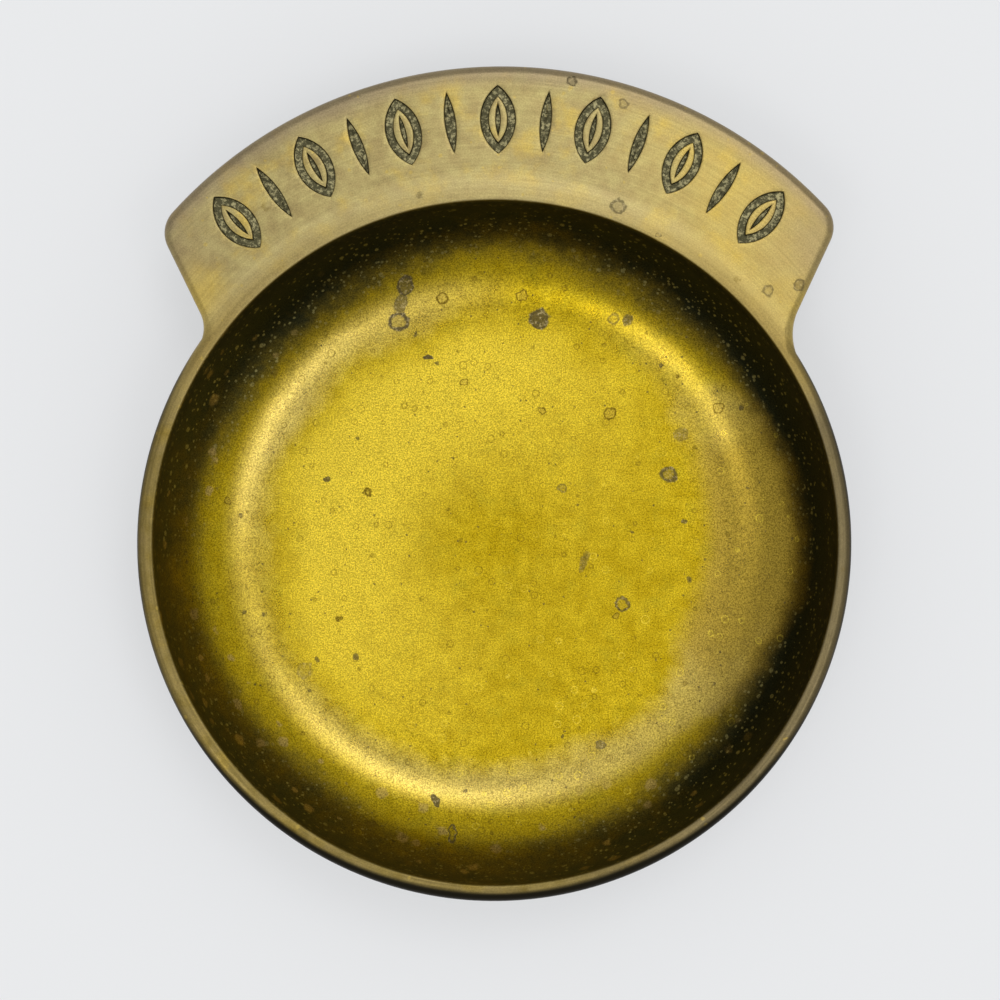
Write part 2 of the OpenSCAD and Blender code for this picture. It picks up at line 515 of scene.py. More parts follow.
@dataclass
class Fillet:
    """The fillet that carries the plate on the outside of the wall."""

    rim_r: float
    under_z: float
    r: float = 3.2
    start: float = 40.0
    end: float = 140.0
    steps: int = 100
    taper: float = 9.0
    lap: float = 1.1
    into_wall: float = 0.35
    into_plate: float = 0.2
    below: float = 0.3
    cap: float = 0.7
    end_share: float = 0.25

    def build(self) -> bpy.types.Object:
        """Spin the fillet's section under the plate, and let it run out at both ends.

        Returns:
            The fillet.
        """
        axis_r = self.rim_r + self.r - self.into_wall
        base_z = self.under_z - self.r + self.into_plate
        top_z = self.under_z + self.cap
        curve = arc(axis_r, base_z, self.r, 184, 86, 10)
        back = self.rim_r - self.lap
        points = [(back, base_z - self.below), *curve, (curve[-1][0], top_z), (back, top_z)]
        bm = bmesh.new()
        turn = math.radians(self.start)
        verts = [bm.verts.new((x * math.cos(turn), x * math.sin(turn), z)) for x, z in points]
        bm.faces.new(verts)
        bmesh.ops.spin(
            bm, geom=bm.verts[:] + bm.edges[:] + bm.faces[:], cent=(0, 0, 0), axis=(0, 0, 1),
            angle=math.radians(self.end - self.start), steps=self.steps, use_merge=False,
        )
        for v in bm.verts:
            flat = v.co.xy
            angle = bearing(flat)
            full = min(
                eased(angle, self.start, self.start + self.taper),
                eased(self.end - angle, 0, self.taper),
            )
            keep = self.end_share + (1 - self.end_share) * full
            v.co.z = top_z - (top_z - v.co.z) * keep
            radius = back + (flat.length - back) * keep
            v.co.x, v.co.y = flat.normalized() * radius
        bmesh.ops.recalc_face_normals(bm, faces=bm.faces)
        return make_piece(bm, "fillet_shell", CREASE)


@dataclass
class Casting:
    """The whole tray casting: bowl, plate, border and fillet in one piece of brass."""

    bowl: Bowl
    plate: Plate
    waviness: float = 0.045
    crease: float = 38.0

    def settle(self, piece: bpy.types.Object) -> None:
        """Give the casting the slight unevenness of a sand mould, below its full height.

        Args:
            piece: the casting.
        """
        for v in piece.data.vertices:
            p = v.co / MM
            slow = noise.noise(p * 0.055) + 0.5 * noise.noise(p * 0.16 + Vector((31, 7, 3)))
            level = eased(p.z, 1.0, 6.0)
            p.z += self.waviness * (slow - 0.7) * level
            v.co = p * MM

    def build(self) -> bpy.types.Object:
        """Join the parts and cut the border.

        Returns:
            The casting in one piece.
        """
        border = Border(
            (self.plate.shift, self.plate.centre_y), self.plate.arc_r, self.plate.face_z
        )
        piece = self.plate.build()
        log.info("plate: %d faces", len(piece.data.polygons))
        combine(piece, border.build(), Cut.TAKE_AWAY)
        log.info("plate with border: %d faces", len(piece.data.polygons))
        shell = self.bowl.build()
        fillet = Fillet(self.plate.rim_r, self.plate.face_z - self.plate.thick)
        combine(shell, fillet.build(), Cut.JOIN)
        combine(shell, piece, Cut.JOIN)
        shell.name = shell.data.name = "tray_brass"
        self.settle(shell)
        shell.data.shade_smooth()
        shell.data.set_sharp_from_angle(angle=math.radians(self.crease))
        log.info("tray_brass: %d faces", len(shell.data.polygons))
        return shell


@dataclass
class Felt:
    """The die-cut felt disc in the recess."""

    r: float
    thick: float = 1.8
    edge_r: float = 0.3
    turns: int = 160

    def build(self) -> bpy.types.Object:
        """Spin the disc's section, with softened edges and an uneven face.

        Returns:
            The disc.
        """
        rings, e = 34, self.edge_r
        bm = bmesh.new()
        section = [
            *[(self.r * i / rings, 0.0) for i in range(rings - 1)],
            *arc(self.r - e, e, e, -90, 0, 4),
            *arc(self.r - e, self.thick - e, e, 0, 90, 4),
            *[(self.r * i / rings, self.thick) for i in range(rings - 2, -1, -1)],
        ]
        verts = [bm.verts.new((x, 0, z)) for x, z in section]
        for pair in zip(verts, verts[1:]):
            bm.edges.new(pair)
        bmesh.ops.spin(
            bm, geom=bm.verts[:] + bm.edges[:], cent=(0, 0, 0), axis=(0, 0, 1),
            angle=2 * math.pi, steps=self.turns, use_merge=True,
        )
        bmesh.ops.remove_doubles(bm, verts=bm.verts, dist=0.001)
        bmesh.ops.recalc_face_normals(bm, faces=bm.faces)
        for v in bm.verts:
            if v.co.z < e:
                v.co.z += 0.05 * (1 + noise.noise(v.co * 0.6))
        return make_piece(bm, "felt_pad", 40)


def srgb(r: int, g: int, b: int) -> Colour:
    """A colour as it is seen, made linear.

    Args:
        r: red, from 0 to 255.
        g: green.
        b: blue.

    Returns:
        Its linear parts from 0 to 1, and an alpha of 1.
    """

    def linear(value: float) -> float:
        """One channel, made linear."""
        return value / 12.92 if value <= 0.04045 else ((value + 0.055) / 1.055) ** 2.4

    return (*(linear(c / 255) for c in (r, g, b)), 1.0)


class Socket:
    """A shader socket with arithmetic: an expression on it adds its Math nodes."""

    def __init__(self, finish: "Finish", socket: bpy.types.NodeSocket) -> None:
        """Wrap a socket of a finish."""
        self.finish, self.socket = finish, socket

    def _math(self, operation: str, *values: "Value") -> "Socket":
        """Add one Math node."""
        inputs = {i: v for i, v in enumerate(values)}
        return self.finish.node("ShaderNodeMath", {"operation": operation}, inputs)

    def __add__(self, other: "Value") -> "Socket":
        """This plus another."""
        return self._math("ADD", self, other)

    def __sub__(self, other: "Value") -> "Socket":
        """This minus another."""
        return self._math("SUBTRACT", self, other)

    def __rsub__(self, other: "Value") -> "Socket":
        """Another minus this."""
        return self._math("SUBTRACT", other, self)

    def __mul__(self, other: "Value") -> "Socket":
        """This times another."""
        return self._math("MULTIPLY", self, other)

    def __truediv__(self, other: "Value") -> "Socket":
        """This over another."""
        return self._math("DIVIDE", self, other)

    def __pow__(self, other: "Value") -> "Socket":
        """This to a power."""
        return self._math("POWER", self, other)

    __radd__, __rmul__ = __add__, __mul__

    def most(self, other: "Value") -> "Socket":
        """The larger of this and another."""
        return self._math("MAXIMUM", self, other)

    def least(self, other: "Value") -> "Socket":
        """The smaller of this and another."""
        return self._math("MINIMUM", self, other)


Value = Union[Socket, float, tuple]


class Finish:
    """A material under construction, with one method that adds nodes.

    Scattered spots that are further apart than coarse, in millimetres, get ragged outlines.
    """

    coarse = 4.0

    def __init__(self, name: str, **fixed: Union[float, Colour]) -> None:
        """Start a material.

        Args:
            name: the material's name.
            fixed: constants of the shader's own sockets, with _ for a space.
        """
        self.material = bpy.data.materials.new(name)
        self.material.use_nodes = True
        self.tree = self.material.node_tree
        self.shader = self.tree.nodes["Principled BSDF"]
        for socket, value in fixed.items():
            self.shader.inputs[socket.replace("_", " ")].default_value = value
        self.place = self.node("ShaderNodeTexCoord", {}, {}, "Object")
        self.ragged = self.fine = self.place

    def node(
        self, kind: str, settings: dict, inputs: dict, out: Union[str, int] = 0
    ) -> Socket:
        """Add a node.

        Args:
            kind: the node's type.
            settings: its properties, such as a Math node's operation.
            inputs: values or links, by the socket's name or number.
            out: the output that is returned.

        Returns:
            The output.
        """
        node = self.tree.nodes.new(kind)
        for key, value in settings.items():
            setattr(node, key, value)
        for key, value in inputs.items():
            if isinstance(value, Socket):
                self.tree.links.new(value.socket, node.inputs[key])
            else:
                node.inputs[key].default_value = value
        return Socket(self, node.outputs[out])

    def feed(self, socket: str, value: Socket) -> None:
        """Link a value to one of the shader's own sockets."""
        self.tree.links.new(value.socket, self.shader.inputs[socket])

    def span(self, value: Value, low: float, high: float, a: float = 0.0, b: float = 1.0) -> Socket:
        """Map a value to another range, eased and clamped.

        Args:
            value: the value.
            low: where its range starts.
            high: where it ends.
            a: the result at low.
            b: the result at high.

        Returns:
            The result.
        """
        inputs = {"Value": value, "From Min": low, "From Max": high, "To Min": a, "To Max": b}
        settings = {"interpolation_type": "SMOOTHSTEP"}
        return self.node("ShaderNodeMapRange", settings, inputs, "Result")

    def mix(self, share: Value, a: Union[Socket, Colour], b: Union[Socket, Colour]) -> Socket:
        """Mix two colours."""
        settings = {"data_type": "RGBA", "clamp_factor": True}
        return self.node("ShaderNodeMix", settings, {0: share, 6: a, 7: b}, 2)

    def grain(
        self, scale: float, detail: float = 3.0, rough: float = 0.5, at: Optional[Socket] = None
    ) -> Socket:
        """Noise from 0 to 1 at so many waves a metre."""
        inputs = {"Vector": at or self.place, "Scale": scale, "Detail": detail, "Roughness": rough}
        return self.node("ShaderNodeTexNoise", {}, inputs, "Fac")

    def tint(self, colour: Socket, strength: Socket) -> Socket:
        """A colour made lighter or darker by a factor."""
        inputs = {0: colour, "Scale": strength}
        return self.node("ShaderNodeVectorMath", {"operation": "SCALE"}, inputs)

    def cells(self, size: float) -> tuple[Socket, Socket, Socket]:
        """Scattered points.

        Args:
            size: their spacing, in millimetres.

        Returns:
            The distance to the nearest one, in spacings, and two random numbers that belong to it.
        """
        inputs = {"Vector": self.ragged if size > self.coarse else self.fine}
        inputs["Scale"] = 1 / (size * MM)
        kind = "ShaderNodeTexVoronoi"
        away = self.node(kind, {}, inputs, "Distance")
        random = Socket(self, away.socket.node.outputs["Color"])
        parts = self.node("ShaderNodeSeparateColor", {}, {0: random}, 0)
        return away, parts, Socket(self, parts.socket.node.outputs[1])

    def spots(self, size: float, small: float, large: float, share: float) -> Socket:
        """Soft round spots, on a share of the scattered points.

        Args:
            size: spacing of the points, in millimetres.
            small: radius of the smallest spot, in spacings.
            large: radius of the largest spot, in spacings.
            share: how many of the points have one.

        Returns:
            The mask.
        """
        away, first, second = self.cells(size)
        r = self.span(first, 0, 1, small, large)
        there = self.span(second, share, share - 0.02)
        return self.span(away / r, 1.1, 0.6) * there

    def rings(self, size: float, small: float, large: float, share: float) -> Socket:
        """Thin round outlines, on a share of the scattered points.

        Args:
            size: spacing of the points, in millimetres.
            small: radius of the smallest ring, in spacings.
            large: radius of the largest ring, in spacings.
            share: how many of the points have one.

        Returns:
            The mask.
        """
        away, first, second = self.cells(size)
        reach = away / self.span(first, 0, 1, small, large)
        there = self.span(second, share, share - 0.02)
        return self.span(reach, 0.7, 0.9) * self.span(reach, 1.15, 0.95) * there

    def roughen(self, scale: float, reach: float) -> Socket:
        """Shift the object coordinates to and fro by noise, so that drawn outlines turn ragged.

        Args:
            scale: waves of the noise a metre.
            reach: the largest shift, in millimetres.

        Returns:
            The shifted coordinates.
        """
        kind = "ShaderNodeVectorMath"
        inputs = {"Vector": self.place, "Scale": scale, "Detail": 3}
        shift = self.node("ShaderNodeTexNoise", {}, inputs, "Color")
        centred = self.node(kind, {"operation": "SUBTRACT"}, {0: shift, 1: (0.5, 0.5, 0.5)})
        scaled = self.node(kind, {"operation": "SCALE"}, {0: centred, "Scale": 2 * reach * MM})
        return self.node(kind, {"operation": "ADD"}, {0: self.place, 1: scaled})

    def axes(self, vector: Socket) -> tuple[Socket, Socket, Socket]:
        """A vector's three parts, in millimetres."""
        parts = [self.node("ShaderNodeSeparateXYZ", {}, {0: vector}, i) for i in range(3)]
        return tuple(part * (1 / MM) for part in parts)


@dataclass(frozen=True)
class Stain:
    """One stain on the brass, at its place on the tray.

    x and y are its middle, r its radius across and stretch its length over its width. turn is in
    degrees, core is how dark its middle is and ring how dark its outline is, from 0 to 1.
    """

    x: float
    y: float
    r: float
    core: float = 0.4
    ring: float = 0.7
    stretch: float = 1.0
    turn: float = 0.0


FLOOR_STAINS = (
    Stain(-15.9, 47.5, 1.4, core=0.7, ring=0.95, stretch=1.25, turn=-10),
    Stain(-16.8, 44.3, 1.1, core=0.75, ring=0.8, stretch=1.6, turn=-20),
    Stain(-17.3, 40.9, 1.9, core=0.3, ring=1.0, stretch=0.85),
    Stain(8.7, 41.2, 1.8, core=0.95, ring=1.0),
    Stain(32.4, 12.2, 1.6, core=0.45, ring=0.9, stretch=0.8),
    Stain(34.7, 19.5, 1.3, core=0.5, ring=0.5),
    Stain(23.5, -11.7, 1.3, core=0.15, ring=0.8),
    Stain(12.6, 9.8, 0.8, core=0.3, ring=0.7),
    Stain(16.5, -3.7, 0.8, core=0.6, ring=0.4, stretch=2.4, turn=-18),
    Stain(19.3, -37.6, 0.8, core=0.7, ring=0.8),
    Stain(-11.9, 34.3, 1.0, core=1.0, ring=1.0, stretch=0.45),
    Stain(-30.8, 11.9, 0.6, core=0.9, ring=0.9),
    Stain(35.2, 3.5, 0.5, core=0.8, ring=0.8),
    Stain(-11.3, -47.4, 0.6, core=0.9, ring=0.9, stretch=2.0, turn=28),
    Stain(-8.2, -53.2, 0.7, core=0.1, ring=0.8, stretch=2.2),
    Stain(-35.4, -23.3, 1.5, core=0.25, ring=0.45),
    Stain(-25.8, -20.9, 0.6, core=0.8, ring=0.7),
    Stain(24.9, 40.8, 0.9, core=0.8, ring=0.6),
    Stain(22.4, 41.0, 1.0, core=0.15, ring=0.5),
)
PLATE_STAINS = (
    Stain(14.5, 81.9, 0.9, core=0.35, ring=0.8),
    Stain(23.7, 77.8, 0.9, core=0.2, ring=0.6),
    Stain(22.5, 59.6, 1.3, core=0.25, ring=0.7),
    Stain(48.9, 44.4, 1.0, core=0.2, ring=0.6),
    Stain(54.5, 45.4, 1.0, core=0.45, ring=0.7),
    Stain(29.6, 54.6, 0.5, core=0.2, ring=0.6),
    Stain(-12.6, 62.0, 0.6, core=0.5, ring=0.3),
)


@dataclass(frozen=True)
class Where:
    """Shader values that tell where on the tray a point lies, in millimetres.

    x, y and z are its place and radius its distance from the bowl's axis. over and up are x and y
    as shares of that. slow, middle and sand are noises, from wide to fine.
    """

    x: Socket
    y: Socket
    z: Socket
    radius: Socket
    over: Socket
    up: Socket
    slow: Socket
    middle: Socket
    sand: Socket

    @classmethod
    def on(cls, paint: Finish) -> "Where":
        """Work the values out from a material's object coordinates.

        Args:
            paint: the material.

        Returns:
            The values.
        """
        x, y, z = paint.axes(paint.place)
        radius = (x * x + y * y) ** 0.5
        over, up = x / radius.most(1.0), y / radius.most(1.0)
        slow, middle = paint.grain(70, 3), paint.grain(330, 4, 0.6)
        return cls(x, y, z, radius, over, up, slow, middle, paint.grain(3600, 3, 0.75))


@dataclass(frozen=True)
class AgedBrass:
    """Cast brass, patinated, with painted light: a yellow floor with a painted lighter ring, a wall
    darkened by patination and painted dark reflection, a tan plate and rim with painted highlight
    and shade.
    """

    floor: Colour = srgb(188, 163, 31)
    floor_deep: Colour = srgb(150, 124, 8)
    floor_olive: Colour = srgb(142, 132, 30)
    floor_pale_and_painted_light: Colour = srgb(226, 200, 68)
    cove_tarnish_and_sheen: Colour = srgb(196, 176, 112)
    cove_brown_and_sheen: Colour = srgb(149, 125, 52)
    patina_and_dark_reflection: Colour = srgb(36, 38, 24)
    warm_patina_and_reflection: Colour = srgb(66, 66, 38)
    brown: Colour = srgb(100, 80, 22)
    speck: Colour = srgb(184, 174, 112)
    blotch: Colour = srgb(172, 146, 84)
    tan: Colour = srgb(171, 157, 103)
    tan_deep: Colour = srgb(148, 131, 86)
    tan_yellow: Colour = srgb(190, 162, 74)
    painted_band_highlight: Colour = srgb(222, 208, 154)
    rim_right_shade: Colour = srgb(104, 94, 72)
    edge_mauve: Colour = srgb(136, 121, 98)
    lip_shade: Colour = srgb(138, 118, 66)
    black_and_painted_shade: Colour = srgb(33, 30, 21)
    mark_grey: Colour = srgb(96, 92, 66)
    mark_glint: Colour = srgb(216, 206, 156)
    stain_dark: Colour = srgb(66, 58, 42)
    stain_pale: Colour = srgb(176, 160, 118)
    lip_r: float = 61.05
    cove_axis: tuple[float, float] = (42.5, 23.0)
    outer_skin: tuple[float, float] = (19.4, 20.0)
    face_z: float = 23.9
    border_centre: tuple[float, float] = (1.4, 5.9)
    border_turn: float = 46.5

    def dress(self) -> bpy.types.Material:
        """Build the material.

        Returns:
            The material.
        """
        paint = Finish("aged_brass", Metallic=1.0)
        paint.ragged, paint.fine = paint.roughen(750, 0.7), paint.roughen(1500, 0.16)
        at = Where.on(paint)
        lip = at.radius + 0.3 - at.up * 0.246 - at.over * 0.172
        beyond = paint.span(self.from_cove(at), *self.outer_skin)
        inside = paint.span(lip, self.lip_r + 0.2, self.lip_r - 0.2) * (1 - beyond)

        bowl = self.bowl_colour(paint, at)
        bowl = paint.tint(bowl, paint.span(at.sand, 0.3, 0.7, 0.46, 1.46))
        top = self.plate_colour(paint, at)
        top = paint.tint(top, paint.span(at.sand, 0.3, 0.7, 0.82, 1.14))
        colour = paint.mix(inside, top, bowl)
        crusted = paint.span(paint.grain(1900, 3, 0.7), 0.5, 0.68)
        crust = paint.mix(crusted * 0.7, self.stain_dark, self.stain_pale)
        stains = self.stains(paint, FLOOR_STAINS + PLATE_STAINS)
        colour = paint.mix(stains * 0.9, colour, crust)

        outside = self.outside(paint, at, beyond)
        # Painted dark reflection and shade: the outside and the rim's outer edge go dark.
        colour = paint.mix(outside, colour, self.black_and_painted_shade)
        sunk, colour = self.border(paint, at, colour)
        paint.feed("Base Color", colour)

        cove = paint.span(at.radius, 37, 42) * paint.span(at.radius, 56, 50)
        rough = paint.span(at.middle, 0.3, 0.7, 0.34, 0.40) - cove * 0.08
        rough = rough + outside * 0.1 + sunk * 0.3
        rough = rough + stains * 0.15
        paint.feed("Roughness", rough)
        self.relief(paint, at)
        return paint.material

    def bowl_colour(self, paint: Finish, at: Where) -> Socket:
        """The inside of the bowl: yellow floor with a painted lighter ring, cove greyed by painted
        highlight over some tarnish, patinated wall darkened further by painted dark reflection,
        with specks.

        Args:
            paint: the material.
            at: where a point lies.

        Returns:
            The colour.
        """
        x, y, radius, over, up = at.x, at.y, at.radius, at.over, at.up
        slow, middle = at.slow, at.middle
        colour = paint.mix(paint.span(middle, 0.2, 0.8, 0.2, 0.9), self.floor_deep, self.floor)
        olive = paint.span(paint.grain(210, 5, 0.7), 0.5, 0.72)
        colour = paint.mix(olive * 0.35, colour, self.floor_olive)
        # Painted light: the floor is paler in a ring, darker in the middle and brighter to the
        # left.
        ring = paint.span(radius + slow * 12, 8, 30) * paint.span(radius + slow * 10, 49, 39)
        left = paint.span(x - y * 0.7 + slow * 20, 42, -26)
        colour = paint.mix(ring * (left * 0.52 + 0.02), colour, self.floor_pale_and_painted_light)

        # Painted highlight over some tarnish: the cove greys where the lamps glint, most on the
        # right and upper left, least at the top.
        right = paint.span(over + (slow - 0.5) * 0.3, 0.7, 0.97)
        start = paint.span(radius + (slow - 0.5) * 8 + (middle - 0.5) * 5 + right * 3, 39.5, 46)
        cove = start * paint.span(radius - right * 9, 51, 46.5)
        grey = paint.mix(right, self.cove_tarnish_and_sheen, self.cove_brown_and_sheen)
        share = 0.33 - up * 0.14 - over * over * 0.16 + right * 0.6 - paint.span(up, 0.7, 1.0) * 0.2
        share = share + paint.span(up - over, 0.8, 1.35) * 0.34
        colour = paint.mix(cove * share, colour, grey)

        # The wall: patinated, and darkened further by painted dark reflection. Its onset is shaped
        # by direction, a brown fringe comes before it, and it is lighter towards the lower left.
        bend = (over * over - up * up) * 0.53 - over * over * up * up * 12.7 + 1.3
        reach = over * up * 1.9 - up * 1.6 - over * 0.2 + bend
        steep = paint.span(over, 0.45, 0.95)
        onset = radius + (slow - 0.5) * 5 + (middle - 0.5) * (8 - steep * 5.5) - reach + steep * 1.2
        width = 10.5 - steep * 6.2
        dark = paint.span((onset - 55.8) / width, -0.5, 0.5)
        brown = paint.span((onset - 54.0) / width, -0.45, 0.35)
        patina_and_dark_reflection = paint.mix(paint.span(x + y + slow * 24, 30, -40), self.patina_and_dark_reflection, self.warm_patina_and_reflection)
        colour = paint.mix(brown * 0.7, colour, self.brown)
        colour = paint.mix(dark, colour, patina_and_dark_reflection)
        return self.bowl_marks(paint, at, dark, colour)

    def bowl_marks(self, paint: Finish, at: Where, dark: Socket, colour: Socket) -> Socket:
        """Specks and blotches on the dark wall, pits and thin rings on the yellow floor.

        Args:
            paint: the material.
            at: where a point lies.
            dark: how dark the wall is.
            colour: the colour below the marks.

        Returns:
            The colour with the marks.
        """
        x, y, radius = at.x, at.y, at.radius
        specks = paint.spots(0.9, 0.16, 0.4, 0.6).most(paint.spots(2.2, 0.12, 0.26, 0.7))
        low = paint.span(x + y, 30, -35)
        colour = paint.mix(dark * specks * (low * 0.28 + 0.3), colour, self.speck)
        blots = paint.spots(4.2, 0.12, 0.32, 0.7)
        colour = paint.mix(blots * low * paint.span(radius, 46, 52) * 0.6, colour, self.blotch)
        clear = 1 - dark
        pits = paint.spots(1.3, 0.08, 0.2, 0.3).most(paint.spots(4.6, 0.05, 0.12, 0.45))
        colour = paint.mix(pits * clear * 0.7, colour, self.stain_dark)
        pale = paint.rings(3.1, 0.14, 0.26, 0.45) * paint.span(x - y, -30, 50)
        colour = paint.mix(pale * clear * 0.4, colour, self.floor_pale_and_painted_light)
        fills = paint.spots(7.3, 0.09, 0.16, 0.4)
        colour = paint.mix(fills * clear * 0.35, colour, self.cove_brown_and_sheen)
        rings = paint.rings(2.7, 0.14, 0.28, 0.45) * 0.5
        rings = rings.most(paint.rings(7.3, 0.09, 0.16, 0.4) * 0.9)
        return paint.mix(rings * clear, colour, self.brown)

    def plate_colour(self, paint: Finish, at: Where) -> Socket:
        """The plate and rim: tan with yellow patches, a painted highlight along the inner band,
        mauve edges, painted shade at the lip, and the rim greyed by painted shade towards the
        right.

        Args:
            paint: the material.
            at: where a point lies.

        Returns:
            The colour.
        """
        x, y, radius, over = at.x, at.y, at.radius, at.over
        slow, middle = at.slow, at.middle
        colour = paint.mix(paint.span(middle, 0.25, 0.75), self.tan_deep, self.tan)
        patches = paint.span(paint.grain(120, 4, 0.6), 0.5, 0.72)
        colour = paint.mix(patches * 0.6, colour, self.tan_yellow)
        corner = paint.span(((x + 55.0) ** 2.0 + (y - 43.0) ** 2.0) ** 0.5 + slow * 6, 16, 4)
        colour = paint.mix(corner * 0.7, colour, self.tan_yellow)
        # Painted highlight: a pale band along the plate's inner edge.
        band = paint.span(radius, 67.0, 63.5) * paint.span(y, 20, 34)
        colour = paint.mix(band * 0.22, colour, self.painted_band_highlight)
        right = paint.span(x + slow * 30, 30, 62) * paint.span(y, 20, 34)
        colour = paint.mix(right * 0.45, colour, self.tan_yellow)
        cx, cy = self.border_centre
        from_arc = ((x - cx) ** 2.0 + (y - cy) ** 2.0) ** 0.5
        ends = paint.span((x * x) ** 0.5 + slow * 20, 56, 72) * paint.span(y, 40, 50)
        edge = paint.span(from_arc + (slow - 0.5) * 3, 74, 78.3) * paint.span(y, 20, 34)
        colour = paint.mix((edge * 0.75).most(ends * 0.5), colour, self.edge_mauve)
        free = paint.span(y, 36, 20)
        colour = paint.mix(free * paint.span(middle, 0.2, 0.8, 0.36, 0.84), colour, self.brown)
        # Painted shade: the rim, where the plate does not cover it, greys towards the right.
        right = free * paint.span(x + slow * 16, 15, 50)
        colour = paint.mix(right * 0.7, colour, self.rim_right_shade)
        lip = paint.span(radius, 66.0, 61.8) * paint.span(y, 20, 34)
        colour = paint.mix(lip * (over * over * 0.7 + 0.4), colour, self.lip_shade)
        specks = paint.spots(2.2, 0.08, 0.2, 0.4).most(paint.spots(5.0, 0.08, 0.17, 0.4))
        colour = paint.mix(specks * 0.4, colour, self.tan_yellow)
        rings = paint.rings(6.5, 0.08, 0.16, 0.25)
        colour = paint.mix(rings * 0.4, colour, self.brown)
        parts = {0: radius * 2.6, 1: over * 5.0, 2: slow * 1.5}
        lines = paint.node("ShaderNodeCombineXYZ", {}, parts)
        brushed = paint.grain(1.0, 3, 0.6, lines)
        streaks = free * 0.13 + 0.08
        return paint.tint(colour, 1 + paint.span(brushed, 0.25, 0.75, -1.3, 0.9) * streaks)

    def from_cove(self, at: Where) -> Socket:
        """Distance from the cove's centre line: about 18.5 on the inner face, 21 on the outer."""
        out, down = (at.radius - self.cove_axis[0]).most(0.0), at.z - self.cove_axis[1]
        return (out ** 2.0 + down ** 2.0) ** 0.5

    def outside(self, paint: Finish, at: Where, beyond: Socket) -> Socket:
        """How dark the outside is: all of the wall, painted dark, and the rim's edge away from the
        plate, a painted dark reflection that widens towards -Y.

        Args:
            paint: the material.
            at: where a point lies.
            beyond: whether the point is on the outer face.

        Returns:
            The mask.
        """
        # Painted dark reflection on the rim's outer edge, wider towards -Y; the outer wall is
        # painted dark below the rim.
        near = paint.span(at.up, -0.35, -1.0)
        edge = paint.span(at.radius + near * 1.3 + (at.slow - 0.5) * 0.5, 62.5, 63.6)
        on_rim = edge * paint.span(at.y, 36, 30)
        below = paint.span(at.z, 22.9, 21.6) * beyond * paint.span(at.slow, 0.3, 0.7, 0.95, 0.76)
        return (on_rim + below).least(1.0)

    def border(self, paint: Finish, at: Where, colour: Socket) -> tuple[Socket, Socket]:
        """The sunk marks: grey-green rough floors with painted glints, and walls darkened as
        painted shade.

        Args:
            paint: the material.
            at: where a point lies.
            colour: the colour round the marks.

        Returns:
            How far a point is inside a mark, and the colour with the marks.
        """
        cx, cy = self.border_centre
        across, up, z = at.x - cx, at.y - cy, at.z
        from_arc = (across * across + up * up) ** 0.5
        turn = paint.node("ShaderNodeMath", {"operation": "ARCTAN2"}, {0: across, 1: up})
        turn = paint.node("ShaderNodeMath", {"operation": "ABSOLUTE"}, {0: turn})
        band = paint.span(from_arc, 62.0, 62.6) * paint.span(from_arc, 76.6, 76.0)
        end = self.border_turn
        band = band * paint.span(turn, math.radians(end + 1), math.radians(end))
        under_face = paint.span(z, self.face_z - 0.1, self.face_z - 0.22)
        sunk = band * under_face * paint.span(z, 22.4, 22.7)
        # Painted shade on the marks' walls, painted glints on their rough floors.
        floor = paint.span(z, self.face_z - 0.45, self.face_z - 0.62)
        glint = paint.span(paint.grain(1500, 4, 0.75), 0.46, 0.62)
        inner = paint.mix(glint * 0.7, self.mark_grey, self.mark_glint)
        inner = paint.mix(floor, self.black_and_painted_shade, inner)
        return sunk, paint.mix(sunk, colour, inner)

    def stains(self, paint: Finish, stains: Sequence[Stain]) -> Socket:
        """All the single stains as one mask, their outlines made ragged by noise.

        Args:
            paint: the material.
            stains: the stains.

        Returns:
            The mask.
        """
        total = None
        for stain in stains:
            inputs = {
                "Vector": paint.ragged,
                "Location": (stain.x * MM, stain.y * MM, 0),
                "Rotation": (0, 0, math.radians(stain.turn)),
                "Scale": (stain.r * MM, stain.r * stain.stretch * MM, 1000),
            }
            local = paint.node("ShaderNodeMapping", {"vector_type": "TEXTURE"}, inputs)
            away = paint.node("ShaderNodeVectorMath", {"operation": "LENGTH"}, {0: local}, "Value")
            core = paint.span(away, 1.1, 0.7, 0, stain.core)
            ring = paint.span(away, 0.5, 0.82) * paint.span(away, 1.2, 0.95, 0, stain.ring)
            mask = core.most(ring)
            total = mask if total is None else total.most(mask)
        return total

    def relief(self, paint: Finish, at: Where) -> None:
        """Sand grain, shallow dents and faint turning lines, as bumps.

        Args:
            paint: the material.
            at: where a point lies.
        """
        lines = paint.node("ShaderNodeCombineXYZ", {}, {0: at.radius * 3.2, 1: at.middle * 0.6})
        turned = paint.grain(1.0, 2, 0.5, lines)
        dents = paint.grain(520, 2, 0.5)
        height = at.sand * 0.5 + turned * 0.25 + dents * 0.9
        inputs = {"Height": height, "Distance": 0.00004, "Strength": 0.55}
        paint.feed("Normal", paint.node("ShaderNodeBump", {}, inputs, "Normal"))


@dataclass(frozen=True)
class GreenFelt:
    """Pressed wool felt."""

    base: Colour = srgb(47, 74, 54)
    fleck: Colour = srgb(70, 98, 74)

    def dress(self) -> bpy.types.Material:
        """Build the material.

        Returns:
            The material.
        """
        paint = Finish("green_felt", Roughness=0.95, Sheen_Weight=0.5)
        paint.feed("Base Color", paint.mix(paint.grain(2400, 6, 0.7), self.base, self.fleck))
        inputs = {"Height": paint.grain(3600, 6, 0.8), "Distance": 0.0002}
        paint.feed("Normal", paint.node("ShaderNodeBump", {}, inputs, "Normal"))
        return paint.material


